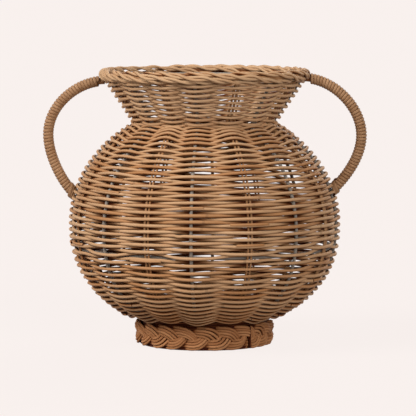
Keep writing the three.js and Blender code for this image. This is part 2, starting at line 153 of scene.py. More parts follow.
class VaseCane(bpy.types.PropertyGroup):
    """Thickness and spacing of canes and rods"""

    weaver: length("Weaver", "Thickness of the woven cane", 0.0033)
    pitch: length("Row pitch", "Row to row along the wall", 0.00352)
    rod: length("Rod", "Thickness of the steel rods", 0.0036)
    hoop: length("Hoop", "Thickness of the steel hoops", 0.0036)
    stake: length("Stake", "Thickness of the thin stakes", 0.0024)
    stake_spacing: length("Stake spacing", "Middle to middle of a pair", 0.0038)
    fullness: FloatProperty(
        name="Fullness", description="Woven cane's thickness over its layout size", default=1.13
    )
    stick: length("Stick", "Thickness of the bottom sticks", 0.0036)
    stick_spacing: length("Stick spacing", "Middle to middle of the bottom sticks", 0.006)
    seed: IntProperty(name="Seed", description="Seed of the weave's unevenness", default=7)


class VaseHandle(bpy.types.PropertyGroup):
    """Shape of the two handles"""

    pole: length("Pole", "Thickness of the pole under the winding", 0.0072)
    overhang: length("Overhang", "How far the pole stands out past the belly", 0.0275)
    reach_height: length("Reach height", "Height where it stands out most", 0.228)
    top_drop: length("Top drop", "Upper end below the border's middle", 0.004)
    socket: length("Socket", "How deep the upper end sits in the border", 0.004)
    low_height: length("Low height", "Where the lower end meets the stakes", 0.168)
    low_slope: FloatProperty(
        name="Low slope",
        description="Lower end's slope above level",
        default=0.768,
        subtype="ANGLE",
    )
    left_top_sag: length("Left top sag", "How much lower the left handle starts", 0.0035)
    left_low_sag: length("Left low sag", "How much lower the left handle ends", 0.006)
    turns: IntProperty(name="Turns", description="Turns of split cane", default=45)
    strip: length("Strip", "Thickness of the split cane", 0.0015)
    right_relief: length("Right relief", "How much rounder the right winding stands", 0.0009)
    left_relief: length("Left relief", "How much rounder the left winding stands", 0.0003)
    band: length("Band", "Width of the tying cane", 0.0038)


class VaseColours(bpy.types.PropertyGroup):
    """Colours of the canes and the steel"""

    cane_light: colour("Light cane", "Palest woven cane", (0.55, 0.35, 0.198))
    cane_dark: colour("Dark cane", "Darkest woven cane", (0.4, 0.19, 0.077))
    foot_light: colour("Light plait", "Palest cane of the foot", (0.485, 0.232, 0.102))
    foot_dark: colour("Dark plait", "Darkest cane of the foot", (0.27, 0.107, 0.039))
    handle_light: colour("Light winding", "Palest split cane", (0.47, 0.282, 0.157))
    handle_dark: colour("Dark winding", "Darkest split cane", (0.255, 0.128, 0.058))
    steel: colour("Steel paint", "Grey paint on the wire frame", (0.24, 0.203, 0.17))


class VaseStage(bpy.types.PropertyGroup):
    """Camera and light"""

    distance: length("Camera distance", "Axis to camera, along the floor", 3.143)
    camera_height: length("Camera height", "Camera above the floor", 0.4247)
    aim_height: length("Aim height", "Height that the camera looks at", 0.1478)
    azimuth: FloatProperty(
        name="Azimuth", description="Camera turned round the vase", default=0.052, subtype="ANGLE"
    )
    aim_right: FloatProperty(
        name="Aim right", description="Aim beside the axis", default=0.0039, unit="LENGTH"
    )
    lens: FloatProperty(name="Lens", description="Focal length in mm", default=249.8)
    backdrop: colour("Backdrop", "Colour of floor and backdrop", (0.947, 0.88, 0.855))


# Mesh making


def even_turn(steps):
    """Angles evenly round a turn."""
    return np.arange(steps) * TURN / steps


def unit(vectors):
    """Each vector divided by its length."""
    return vectors / np.linalg.norm(vectors, axis=-1, keepdims=True)


def run_length(path, closed):
    """Distance from the first point along each path, with the closing stretch added if closed."""
    ends = path[:, :1] if closed else path[:, :0]
    steps = np.linalg.norm(np.diff(np.concatenate([path, ends], 1), axis=1), axis=-1)
    return np.concatenate([np.zeros((len(path), 1)), np.cumsum(steps, 1)], 1)


class Tubes:
    """Sections carried along K paths of N points: centre + normal * height * cos a + side * width *
    sin a, for M angles a. The side is at right angles to path and normal. A power under 1 on both
    flattens the section's top and sides."""

    def __init__(
        self, path, normal, width, height=None, sides=8, closed=False, tone=0.5, cover=0.0, power=1.0
    ):
        path = np.asarray(path, float)
        if closed:
            tangent = np.roll(path, -1, 1) - np.roll(path, 1, 1)
        else:
            tangent = np.gradient(path, axis=1)
        tangent = unit(tangent)
        normal = np.broadcast_to(np.asarray(normal, float), path.shape)
        normal = unit(normal - (normal * tangent).sum(-1, keepdims=True) * tangent)
        side = np.cross(tangent, normal)
        shape = path.shape[:2]
        width = np.broadcast_to(width, shape)[..., None, None]
        height = width if height is None else np.broadcast_to(height, shape)[..., None, None]
        angle = even_turn(sides)
        cosine, sine = (
            (np.sign(wave) * np.abs(wave) ** power)[:, None] for wave in (np.cos(angle), np.sin(angle))
        )
        out = cosine * normal[..., None, :] * height
        across = sine * side[..., None, :] * width
        self.points = path[..., None, :] + out + across
        self.along = run_length(path, closed)
        self.tone = np.broadcast_to(tone, shape)
        self.cover = np.broadcast_to(cover, shape)
        self.closed = closed


def ring_faces(tubes, start):
    """Four-sided faces between neighbouring rings, and their UVs: length along, share around."""
    count, rings, sides, _ = tubes.points.shape
    index = start + np.arange(count * rings * sides).reshape(count, rings, sides)
    following = np.roll(index, -1, 1)
    along = tubes.along
    if not tubes.closed:
        index, following = index[:, :-1], following[:, :-1]
    faces = np.stack(
        [index, np.roll(index, -1, 2), np.roll(following, -1, 2), following], -1
    ).reshape(-1, 4)
    low = np.broadcast_to(along[:, :-1, None], index.shape)
    high = np.broadcast_to(along[:, 1:, None], index.shape)
    left = np.broadcast_to(np.arange(sides) / sides, index.shape)
    right = left + 1 / sides
    corners = [(low, left), (low, right), (high, right), (high, left)]
    uv = np.stack([np.stack(corner, -1) for corner in corners], -2)
    return faces, uv.reshape(-1, 2)


def end_faces(tubes, start):
    """Flat caps on the ends of open tubes, with UVs at the end's length."""
    count, rings, sides, _ = tubes.points.shape
    if tubes.closed:
        return np.zeros((0, sides), int), np.zeros((0, 2))
    index = start + np.arange(count * rings * sides).reshape(count, rings, sides)
    faces = np.concatenate([index[:, 0, ::-1], index[:, -1]])
    ends = np.repeat(np.concatenate([tubes.along[:, 0], tubes.along[:, -1]]), sides)
    return faces, np.stack([ends, np.full(len(ends), 0.5)], -1)


def cane_mesh(name, groups):
    """One mesh from several groups of tubes, with UVs in metres along, and a tone and a cover for each
    point: cover is 1 where a cane lies behind others, and sets how much painted shade its skin gets."""
    faces, starts, corner_uv, smooth = [], [], [], []
    first = loop = 0
    for tubes in groups:
        for (made, uv), is_smooth in ((ring_faces(tubes, first), True), (end_faces(tubes, first), False)):
            faces.append(made.ravel())
            starts.append(loop + np.arange(len(made)) * made.shape[1])
            corner_uv.append(uv)
            smooth.append(np.full(len(made), is_smooth))
            loop += made.size
        first += tubes.points[..., 0].size
    points = np.concatenate([tubes.points.reshape(-1, 3) for tubes in groups])
    mesh = bpy.data.meshes.new(name)
    mesh.vertices.add(len(points))
    mesh.vertices.foreach_set("co", points.ravel())
    mesh.loops.add(loop)
    mesh.loops.foreach_set("vertex_index", np.concatenate(faces))
    starts = np.concatenate(starts)
    mesh.polygons.add(len(starts))
    mesh.polygons.foreach_set("loop_start", starts)
    mesh.polygons.foreach_set("use_smooth", np.concatenate(smooth))
    mesh.update(calc_edges=True)
    mesh.uv_layers.new(name="UVMap").data.foreach_set("uv", np.concatenate(corner_uv).ravel())
    for key in ("tone", "cover"):
        values = [np.repeat(getattr(tubes, key).ravel(), tubes.points.shape[2]) for tubes in groups]
        attribute = mesh.attributes.new(key, "FLOAT", "POINT")
        attribute.data.foreach_set("value", np.concatenate(values))
    return mesh


def add_piece(name, groups, material, slot, *nodes):
    """A piece made of tubes, which rides on the vase and stands for the named CAD nodes."""
    mesh = cane_mesh(name, groups)
    mesh.materials.append(material)
    piece = bpy.data.objects.new(name, mesh)
    bpy.context.scene.collection.objects.link(piece)
    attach(piece, "root")
    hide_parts(*nodes)
    return piece


# Shape of the wall


class Profile:
    """The line that the stakes follow, as tables of radius, height and outward normal against the
    length along it. The belly is two quarters of full ellipses through base and neck, the collar a
    cone from the neck to the border, and a rounded maximum joins them."""

    def __init__(self, form, cane):
        self.half_wall = cane.rod / 2 + cane.weaver
        self.base_height = form.foot_height + CLEARANCE + self.half_wall
        border_radius = form.border_diameter / 2
        border_height = form.height - border_radius
        run = np.hypot(form.rim_radius - form.neck_radius, border_height - form.neck_height)
        rise = (border_height - form.neck_height) / run
        self.top_height = border_height - (border_radius + CLEARANCE) * rise
        below, above, rows = 0.005, 0.004, 6000  # how far the tables pass the ends, and their rows
        height = np.linspace(self.base_height - below, self.top_height + above, rows)
        lower = self.quarter(form, height, self.base_height, form.base_radius, form.lower_fullness)
        upper = self.quarter(form, height, form.neck_height, form.neck_radius, 2)
        slope = (form.rim_radius - form.neck_radius) / (border_height - form.neck_height)
        collar = form.neck_radius + slope * (height - form.neck_height)
        rounded = (upper + collar + np.hypot(upper - collar, form.waist_rounding)) / 2
        radius = np.where(height < form.belly_height, lower, rounded)
        steps = np.hypot(np.diff(radius), np.diff(height))
        along = np.concatenate([[0], np.cumsum(steps)])
        self.along = along - np.interp(self.base_height, height, along)
        self.height, self.radius = height, radius
        self.out = np.gradient(height, along)
        self.up = -np.gradient(radius, along)

    @staticmethod
    def quarter(form, height, end_height, end_radius, fullness):
        """Radius of a full ellipse that is widest at the belly and passes through the end."""
        share = (1 - (end_radius / form.belly_radius) ** fullness) ** (1 / fullness)
        half = abs(form.belly_height - end_height) / share
        reach = np.clip(np.abs(height - form.belly_height) / half, 0, 1)
        return form.belly_radius * (1 - reach**fullness) ** (1 / fullness)

    def length_at(self, height):
        """Length along the profile, from the stakes' lower ends, at a height."""
        return float(np.interp(height, self.height, self.along))

    def place(self, along, angle, out):
        """Points and outward normals at a length, at an angle from the front towards +X, and a
        distance outside the stakes."""
        radius, height, side, up = (
            np.interp(along, self.along, table)
            for table in (self.radius, self.height, self.out, self.up)
        )
        drift = np.radians((*STAKE_DRIFT, STAKE_DRIFT[0]))
        angle = angle + np.interp(angle % TURN, np.linspace(0, TURN, len(drift)), drift)
        reach = radius + out * side
        points = np.stack([reach * np.sin(angle), -reach * np.cos(angle), height + out * up], -1)
        normals = np.stack([side * np.sin(angle), -side * np.cos(angle), up + 0 * angle], -1)
        return points, normals


def sizes(context):
    """The scene's sizes of the vase and of its canes, and the profile that follows from them."""
    form, cane = context.scene.vase_form, context.scene.vase_cane
    return form, cane, Profile(form, cane)


def bell(distance, width):
    """1 in the middle and less with distance: exp(-(distance / width) squared)."""
    return np.exp(-((distance / width) ** 2))


def off_angle(angle, middle):
    """Shortest way round from the middle to each angle, up to half a turn either way."""
    return (angle - middle + np.pi) % TURN - np.pi


def ring(radius, angle, height):
    """Points at a radius and a height, at angles from the front towards +X, and outward normals."""
    out = np.stack([np.sin(angle), -np.cos(angle), 0 * angle], -1)
    return np.stack([radius * out[..., 0], radius * out[..., 1], height + 0 * angle], -1), out


def shoulder(profile, along, angle):
    """Share by which the cane pairs stand out: a bell over the upper shoulder, at the pairs only."""
    middle = profile.length_at(SHOULDER_HEIGHT)
    return bell(along - middle, SHOULDER_SPREAD) * (0.5 - 0.5 * np.cos(STAKE_PAIRS * angle)) ** 2


def opened_gaps(seed, along, angle):
    """Row movement that opens small gaps: about each of some places the rows above move up and the
    rows below move down, less with distance."""
    rng = np.random.default_rng(seed)
    places = [rng.uniform(low, high, GAP_COUNT) for low, high in (GAP_TURNS, GAP_LEVELS, GAP_WIDTHS)]
    move = 0
    for turn, level, width in zip(*places):
        step = along - level
        parting = np.tanh(step / GAP_EDGE) * np.exp(-np.abs(step) / GAP_FADE)
        move = move + parting * bell(off_angle(angle, turn), width)
    return move * GAP_MOVE


def thin_places(profile, along, angle):
    """Share by which canes are thin: a bell about each thin place, round the vase and along the wall."""
    thin = 0
    for degrees, height, share in THIN_PLACES:
        away = off_angle(angle, np.radians(degrees))
        step = along - profile.length_at(height)
        thin = thin + share * bell(away, THIN_WIDTH) * bell(step, THIN_HEIGHT)
    return thin


def row_movement(profile, cane, along, angle):
    """How far a row leaves its level: a slow wander, an arch over the pairs on the shoulder, a droop
    at every stake near the base, and the small gaps."""
    wander = sum(size * np.sin(turns * angle + climb * along + phase) for size, turns, climb, phase in WANDER)
    arch = SHOULDER_ARCH * shoulder(profile, along, angle)
    at_stakes = 0.5 + 0.5 * np.cos(2 * STAKE_PAIRS * angle)
    droop = DROOP * np.exp(-along / DROOP_FADE) * at_stakes
    return wander + arch - droop + opened_gaps(cane.seed, along, angle)


def cane_numbers(rng, row, side, angle):
    """Number of the cane at each point. Every second row goes on with the same weaver, whose canes end
    at one of the pairs after a number of turns by chance."""
    count = len(row)
    woven = np.floor(row / 2) + (angle - np.pi) / TURN
    ends = np.cumsum(rng.uniform(*CANE_TURNS, 2 * count + 8))
    ends = (np.floor(ends * STAKE_PAIRS) + 0.5) / STAKE_PAIRS
    return np.searchsorted(ends, woven + 0.01) + np.where(side > 0, 0, count + 4)


def woven_rows(profile, cane, low, high, first, hoop, closeness):
    """Closed rows of cane between two lengths. Row k lies at level k and leaves the stakes' line by
    plus or minus its reach times cos(8 angle), so that rows take turns in front of the rods and in
    front of the pairs. Where they pass outside, the rows beside the hoop lean over it. Each cane has
    its own thickness and tone, and the collar's canes are paler."""
    count = round((high - low) / cane.pitch * closeness)
    rng = np.random.default_rng(cane.seed + first)
    row = np.arange(count)[:, None]
    pitch = (high - low) / count
    level = low + (row + 0.5) * pitch + rng.uniform(-LEVEL_JITTER, LEVEL_JITTER, (count, 1)) * pitch
    steps = 2 * STAKE_PAIRS * STEPS_PER_STAKE
    angle = np.broadcast_to(np.pi + even_turn(steps), (count, steps))
    side = np.where((row + first) % 2 == 0, 1.0, -1.0)
    wave = np.cos(STAKE_PAIRS * angle)
    number = cane_numbers(rng, row, side, angle)
    tones = np.clip(rng.normal(0.5, TONE_SPREAD, 2 * count + 16), 0, 1)
    girths = rng.normal(1, GIRTH_SPREAD, 2 * count + 16).clip(0.9, 1.08)
    phases = rng.uniform(0, TURN, (3, count, 1))
    own = sum(np.sin(turns * angle + phase) for turns, phase in zip((3, 7, 11), phases))
    along = level + row_movement(profile, cane, level, angle) + OWN_WANDER * own
    lean = bell(level - hoop, LEAN_REACH) * np.clip(side * wave + 0.5, 0, 1)
    along = along + LEAN * lean * np.sign(hoop - level)
    inside = np.where(wave > 0, cane.rod, cane.stake) / 2
    out = side * wave * (inside + cane.weaver / 2)
    out = out + SHOULDER_OUT * shoulder(profile, level, angle)
    path, normal = profile.place(along, angle, out)
    collar = 1 / (1 + np.exp((profile.length_at(COLLAR_START) - level) / COLLAR_BLEND))
    radius = cane.weaver * cane.fullness / 2 * girths[number] * (1 + COLLAR_THICKER * collar)
    radius = radius * (1 - thin_places(profile, level, angle))
    pressed = radius * (0.92 + 0.08 * np.abs(wave))
    # Cover is 1 where the row passes inside, behind a stake; the skin paints shade there.
    cover = (0.5 - 0.5 * side * wave) ** 4
    tone = tones[number] + COLLAR_PALER * collar
    rows = Tubes(path, normal, pressed, radius, closed=True, tone=tone, cover=cover)
    return [rows, splices(profile, cane, level, side, rng)], first + count


def splices(profile, cane, level, side, rng):
    """Short ends of cane laid beside some rows, each in front of a stake where its row passes outside."""
    rows = rng.choice(len(level), len(level) // 2)
    stake = 2 * rng.integers(0, STAKE_PAIRS, len(rows)) + (side[rows, 0] < 0)
    reach = np.linspace(-1, 1, 18) * rng.uniform(*SPLICE_REACH, (len(rows), 1))
    angle = stake[:, None] * TURN / (2 * STAKE_PAIRS) + reach
    along = level[rows] + row_movement(profile, cane, level[rows], angle) + SPLICE_RISE * cane.pitch
    over_rod = (cane.rod / 2 + cane.weaver / 2) * np.abs(np.cos(STAKE_PAIRS * angle))
    path, normal = profile.place(along, angle, over_rod + SPLICE_OUT)
    tone = rng.uniform(0, 0.4, (len(rows), 1))
    return Tubes(path, normal, cane.weaver * SPLICE_RADIUS, tone=tone)


# Shader expressions


class Value:
    """A shader socket in an expression: arithmetic on it adds Math nodes to its graph."""

    def __init__(self, graph, socket):
        self.graph, self.socket = graph, socket

    def math(self, operation, *others):
        """Result of a Math node with this value first."""
        return self.graph.math(operation, self, *others)

    def __add__(self, other):
        return self.math("ADD", other)

    def __sub__(self, other):
        return self.math("SUBTRACT", other)

    def __rsub__(self, other):
        return self.graph.math("SUBTRACT", other, self)

    def __mul__(self, other):
        return self.math("MULTIPLY", other)

    __radd__, __rmul__ = __add__, __mul__


class Graph:
    """The nodes of a new material or world, and its first shader."""

    def __init__(self, owner, shader="Principled BSDF"):
        owner.use_nodes = True
        self.owner = owner
        self.nodes, self.links = owner.node_tree.nodes, owner.node_tree.links
        self.shader = self.nodes[shader]

    def feed(self, socket, value):
        """Links a value into a socket, or sets a plain number or colour on it."""
        if isinstance(value, Value):
            self.links.new(value.socket, socket)
        elif isinstance(value, (tuple, list)) and socket.type == "RGBA":
            socket.default_value = (*value[:3], 1)
        else:
            socket.default_value = value

    def node(self, kind, settings=None, *values, **named):
        """Adds a node with its settings, then its inputs by place or name, and gives its outputs."""
        made = self.nodes.new(kind)
        for key, setting in (settings or {}).items():
            setattr(made, key, setting)
        for place, value in enumerate(values):
            self.feed(made.inputs[place], value)
        for key, value in named.items():
            self.feed(made.inputs[key], value)
        return lambda output: Value(self, made.outputs[output])

    def math(self, operation, *values):
        """Result of a Math node."""
        return self.node("ShaderNodeMath", {"operation": operation}, *values)("Value")

    def mix(self, share, first, second, blend="MIX"):
        """Mix of two colours."""
        made = self.nodes.new("ShaderNodeMix")
        made.data_type, made.blend_type = "RGBA", blend
        self.feed(made.inputs[0], share)
        self.feed(made.inputs[6], first)
        self.feed(made.inputs[7], second)
        return Value(self, made.outputs[2])

    def blend(self, share, first, second):
        """Mix of two shaders."""
        return self.node("ShaderNodeMixShader", None, share, first, second)("Shader")

    def noise(self, vector, scale, detail=2.0, roughness=0.5):
        """Noise from 0 to 1."""
        made = self.node(
            "ShaderNodeTexNoise", None, Vector=vector, Scale=scale, Detail=detail, Roughness=roughness
        )
        return made("Fac")

    def attribute(self, name):
        """A number that the mesh gives for each point."""
        return self.node("ShaderNodeAttribute", {"attribute_name": name})("Fac")

    def parts(self, vector):
        """The three numbers of a vector."""
        made = self.node("ShaderNodeSeparateXYZ", None, vector)
        return [made(axis) for axis in "XYZ"]

    def rise(self, value, start, end):
        """0 where the value is at the start, 1 at the end, and evenly between."""
        return self.node("ShaderNodeMapRange", None, value, start, end)("Result")

    def in_view(self):
        """1 where the camera, a gloss or a clear surface sees it, and 0 where it only gives light."""
        rays = self.node("ShaderNodeLightPath")
        seen = rays("Is Camera Ray") + rays("Is Glossy Ray") + rays("Is Transmission Ray")
        return seen.math("MINIMUM", 1.0)

    def shape(self, **inputs):
        """Sets inputs of the first shader by name, with spaces written as underscores."""
        for key, value in inputs.items():
            self.feed(self.shader.inputs[key.replace("_", " ")], value)
        return self.owner

    def surface(self, output, shader):
        """Links a shader into the surface of the output node of that name."""
        self.links.new(shader.socket, self.nodes[output].inputs["Surface"])


def crevices(graph, around, level, overhang):
    """Share of painted shade at each point, from 0 to 1: the side of a cane that faces the wall, turned to
    the lower side, away from the light above, or the outer side where other canes cover it.
    Low on the belly and in the collar, where the wall overhangs and the rows above shade the ones below, it
    turns by up to the overhang, in radians, to the upper side. The border's canes have less of it."""
    low = graph.rise(level, 0.09, 0.03)
    collar = graph.rise(level, 0.235, 0.255)
    border = graph.rise(level, 0.278, 0.288)
    leaning = low + collar * 0.5 - border * 0.7
    outward = (around * TURN + 0.45 - leaning * overhang).math("COSINE")
    facing = outward * 0.5 * (1.0 - graph.attribute("cover") * 2.0)
    return graph.rise(0.5 - facing - border * 0.12, 0.25, 0.85)


def rattan(name, light, dark, roughness=0.4, overhang=0.0):
    """Rattan skin: tone differs from cane to cane and along each, with fine fibres, darker stains and the
    rings where leaves grew.
    Painted shade, warm and brown, darkens the sides of canes in the crevices."""
    # The first two colours are painted shade, warm browns multiplied in over the crevices; ring_brown is the
    # leaf rings' own colour.
    shade_tint, deep_shade_tint, ring_brown = (1.0, 0.72, 0.48), (0.15, 0.07, 0.03), (0.12, 0.07, 0.04)
    rings_per_metre, ring_width = 4.1, 0.006
    graph = Graph(bpy.data.materials.new(name))
    along, around, _ = graph.parts(graph.node("ShaderNodeUVMap")("UV"))
    tone = graph.attribute("tone")
    place = graph.node("ShaderNodeTexCoord")("Object")

    def stretched(long, wide):
        made = graph.node("ShaderNodeCombineXYZ", None, along * long, around * wide, tone * 53.0)
        return made("Vector")

    fibres = graph.noise(stretched(90.0, 9.0), 1.0, 3.0, 0.6)
    patches = graph.noise(stretched(22.0, 0.6), 1.0, 2.0)
    stains = graph.noise(place, 26.0, 3.0, 0.6)
    leaf_ring = (along * rings_per_metre + tone * 17.0).math("FRACT").math("COMPARE", 0.5, ring_width)
    share = tone * 0.8 + patches * 0.5 + stains * 0.4 - 0.36
    paint = graph.mix(share.math("MAXIMUM", 0.0).math("MINIMUM", 1.0), dark, light)
    paint = graph.mix(fibres * 0.5, paint, (0.62, 0.55, 0.5), "MULTIPLY")
    paint = graph.mix(leaf_ring * 0.3, paint, ring_brown)
    # Painted shade: darker and browner where a cane faces the wall, faces away from the light above, or lies
    # behind other canes.
    painted_shade = crevices(graph, around, graph.parts(place)[2], overhang)
    paint = graph.mix(painted_shade, paint, shade_tint, "MULTIPLY")
    paint = graph.mix(painted_shade.math("POWER", 1.3), paint, deep_shade_tint, "MULTIPLY")
    height = fibres * 0.6 + leaf_ring * 0.7
    bump = graph.node("ShaderNodeBump", None, Strength=0.35, Distance=0.0006, Height=height)
    uneven = roughness + fibres * 0.25
    return graph.shape(
        Base_Color=paint, Roughness=uneven, Normal=bump("Normal"), Specular_IOR_Level=0.07
    )


def painted_steel(name, paint):
    """Grey paint on wire, a little uneven in tone and gloss."""
    graph = Graph(bpy.data.materials.new(name))
    place = graph.node("ShaderNodeTexCoord")("Object")
    cloud = graph.noise(place, 60.0, 4.0, 0.6)
    speck = graph.noise(place, 900.0, 2.0)
    tint = graph.mix(cloud, [c * 0.75 for c in paint], [min(1, c * 1.25) for c in paint])
    bump = graph.node("ShaderNodeBump", None, Strength=0.2, Distance=0.0002, Height=speck)
    return graph.shape(
        Base_Color=tint, Roughness=0.42 + cloud * 0.2, Normal=bump("Normal"), Specular_IOR_Level=0.2
    )


def finish(context, name):
    """The material of that name, made on first use from the scene's colours."""
    look = context.scene.vase_colours
    recipes = {
        "woven_cane": lambda: rattan(name, look.cane_light[:], look.cane_dark[:], overhang=1.15),
        "plaited_cane": lambda: rattan(name, look.foot_light[:], look.foot_dark[:], 0.45),
        "split_cane": lambda: rattan(name, look.handle_light[:], look.handle_dark[:], 0.36),
        "grey_steel": lambda: painted_steel(name, look.steel[:]),
    }
    return bpy.data.materials.get(name) or recipes[name]()


# Pieces


class VASE_OT_weave(bpy.types.Operator):
    """Weave the belly, the collar and the rows under the border"""

    bl_idname = "vase.weave"
    bl_label = "Weave the wall"

    def execute(self, context):
        form, cane, profile = sizes(context)
        hoop_gap = cane.hoop / 2 + CLEARANCE
        hoop = profile.length_at(form.hoop_height)
        neck = profile.length_at(form.neck_height)
        top = profile.length_at(profile.top_height)
        wale = top - form.wale_height
        bands = [
            ("lower_belly_rows", "lower_belly_weave", 2 * hoop_gap, hoop - hoop_gap, "weave_cane", 1.0),
            ("upper_belly_rows", "upper_belly_weave", hoop + hoop_gap, neck, "weave_cane", 1.0),
            ("collar_rows", "collar_weave", neck, wale, "weave_cane", COLLAR_CLOSENESS),
            ("wale_rows", "rim_wale", wale, top, "border_cane", 1.0),
        ]
        first = 0
        for name, node, low, high, slot, closeness in bands:
            rows, first = woven_rows(profile, cane, low, high, first, hoop, closeness)
            add_piece(name, rows, finish(context, "woven_cane"), slot, node)
        return {"FINISHED"}


class VASE_OT_frame(bpy.types.Operator):
    """Bend the steel rods and hoops of the wire frame"""

    bl_idname = "vase.frame"
    bl_label = "Bend the wire frame"

    def execute(self, context):
        form, cane, profile = sizes(context)
        steel = finish(context, "grey_steel")
        top = profile.length_at(profile.top_height)
        along = np.linspace(0, top, STAKE_POINTS)[None]
        for number in range(STAKE_PAIRS):
            angle = np.full_like(along, TURN / 4 - number * TURN / STAKE_PAIRS)
            path, normal = profile.place(along, angle, 0)
            rod = Tubes(path, normal, cane.rod / 2, sides=12)
            add_piece(f"steel_rod_{number + 1}", [rod], steel, "frame_steel", f"frame_rod_{number + 1}")
        inward = -(cane.rod / 2 + cane.hoop / 2 + CLEARANCE)
        gap = cane.hoop / 2 + CLEARANCE
        levels = {"base": gap, "belly": profile.length_at(form.hoop_height), "rim": top - cane.hoop / 4}
        angle = even_turn(192)[None]
        for name, level in levels.items():
            path, normal = profile.place(np.full_like(angle, level), angle, inward)
            hoop = Tubes(path, normal, cane.hoop / 2, sides=12, closed=True)
            add_piece(f"steel_hoop_{name}", [hoop], steel, "frame_steel", f"{name}_hoop")
        return {"FINISHED"}


class VASE_OT_stakes(bpy.types.Operator):
    """Set the pairs of thin cane stakes"""

    bl_idname = "vase.stakes"
    bl_label = "Set the thin stakes"

    def execute(self, context):
        _, cane, profile = sizes(context)
        skin = finish(context, "woven_cane")
        along = np.linspace(0, profile.length_at(profile.top_height), STAKE_POINTS)[None]
        rng = np.random.default_rng(cane.seed)
        for number in range(STAKE_PAIRS):
            middle = TURN / 4 - (number + 0.5) * TURN / STAKE_PAIRS
            angle = np.full_like(along, middle)
            path, normal = profile.place(along, angle, SHOULDER_OUT * shoulder(profile, along, angle))
            across = np.array([np.cos(middle), np.sin(middle), 0])
            for letter, side in (("a", 0.5), ("b", -0.5)):
                shifted = path + side * cane.stake_spacing * across
                tone = rng.uniform(0.2, 0.8)
                # Cover 0.4 gives the stakes some painted shade, as they lie partly behind the rows.
                stake = Tubes(shifted, normal, cane.stake / 2, sides=10, tone=tone, cover=0.4)
                name = f"{number + 1}{letter}"
                add_piece(f"thin_stake_{name}", [stake], skin, "stake_cane", f"stake_cane_{name}")
        return {"FINISHED"}


class VASE_OT_base(bpy.types.Operator):
    """Weave the base over its crossing sticks"""

    bl_idname = "vase.base"
    bl_label = "Weave the base"

    def execute(self, context):
        form, cane, profile = sizes(context)
        level = profile.base_height
        skin = finish(context, "woven_cane")
        rng = np.random.default_rng(cane.seed)
        inset, stick_inset, hole = 0.0035, 0.002, 0.012
        lift = (cane.stick + CLEARANCE) / 2
        reach = form.base_radius - inset
        for number in range(3):
            offset = (number - 1) * cane.stick_spacing
            half = np.sqrt(reach**2 - offset**2) - stick_inset
            run = np.linspace(-half, half, 40)[None]
            flat = np.zeros_like(run)
            low = np.stack([run, flat + offset, flat + level - lift], -1)
            high = np.stack([flat - offset, run, flat + level + lift], -1)
            for word, path in (("long", low), ("cross", high)):
                stick = Tubes(path, (0, 0, 1), cane.stick / 2, sides=10, tone=rng.uniform(0.2, 0.7))
                name = f"{word}_{number + 1}"
                add_piece(f"bottom_stick_{name}", [stick], skin, "stake_cane", f"base_stick_{name}")
        count, steps = round((reach - hole) / cane.pitch), 160
        row = np.arange(count)[:, None]
        angle = np.broadcast_to(even_turn(steps), (count, steps))
        side = np.where(row % 2 == 0, 1.0, -1.0)
        over_under = side * np.tanh(2.2 * np.cos(2 * angle)) * (cane.stick / 2 + cane.weaver / 2)
        path, _ = ring(hole + (row + 0.5) * (reach - hole) / count, angle, level + over_under)
        tone = rng.uniform(0.2, 0.8, (count, 1))
        # Cover 0.5 gives the base rows half of the painted shade.
        rows = Tubes(path, (0, 0, 1), cane.weaver / 2, closed=True, tone=tone, cover=0.5)
        add_piece("base_rows", [rows], skin, "weave_cane", "base_weave")
        return {"FINISHED"}


class VASE_OT_border(bpy.types.Operator):
    """Roll the border of the rim"""

    bl_idname = "vase.border"
    bl_label = "Roll the border"

    def execute(self, context):
        form, cane, _ = sizes(context)
        thick, core_radius = 0.0034, 0.0028
        crossings, sway, swell = 13, 0.38, 0.0008  # of the two canes of a pair
        loose_place, loose_width = 3.95, 0.4  # where the border has holes
        rng = np.random.default_rng(cane.seed + 3)
        angle = even_turn(640)[None]
        strand = np.repeat([0.0, 1.5, 3.2, 4.8], 2)[:, None]
        twist = crossings * angle + 2 * strand + np.tile([0, np.pi], 4)[:, None]
        wobble = 0.15 * np.sin(9 * angle + 2 * strand) + 0.1 * np.sin(17 * angle - strand)
        loose = bell(angle - loose_place, loose_width)
        roll = strand - self.lay(angle) + (sway - 0.2 * loose) * np.cos(twist) + wobble
        reach = form.border_diameter / 2 - thick * 0.45 + swell * np.sin(twist)
        path, normal = self.round_rim(form, np.broadcast_to(angle, roll.shape), roll, reach)
        tone = rng.uniform(0.8, 1.2, (len(strand), 1))
        canes = Tubes(path, normal, thick / 2 * (1 - 0.4 * loose), closed=True, tone=tone)
        filled = np.linspace(-1.9, 3.4, 400)[None]
        path, normal = self.round_rim(form, filled, 0 * filled, 0)
        # The core takes a dark tone so that it shows as shade in the gaps between strands: painted shade.
        core = Tubes(path, normal, core_radius, tone=0.1)
        add_piece("border_canes", [canes, core], finish(context, "woven_cane"), "border_cane", "rim_border")
        return {"FINISHED"}

    @staticmethod
    def lay(angle):
        """How far the canes have rolled round the border at each angle: slowly in front and behind, faster
        at the left and right ends, and a whole number of times in all."""
        left, right = np.exp(3 * np.cos(angle - 4.68) - 3), np.exp(18 * np.cos(angle - 1.6) - 18)
        rate = 2.8 + 6.5 * left + 3 * right
        rate = rate * np.round(rate.mean()) / rate.mean()
        return np.cumsum(rate, 1) * TURN / angle.size

    @staticmethod
    def round_rim(form, angle, roll, reach):
        """Points and normals round the rim's ring: the ring's point + reach * (cos roll outward + sin
        roll up)."""
        radius = form.rim_radius + reach * np.cos(roll)
        height = form.height - form.border_diameter / 2 + reach * np.sin(roll)
        points, out = ring(radius, angle, height)
        return points, out * np.cos(roll)[..., None] + np.sin(roll)[..., None] * np.array([0.0, 0.0, 1.0])


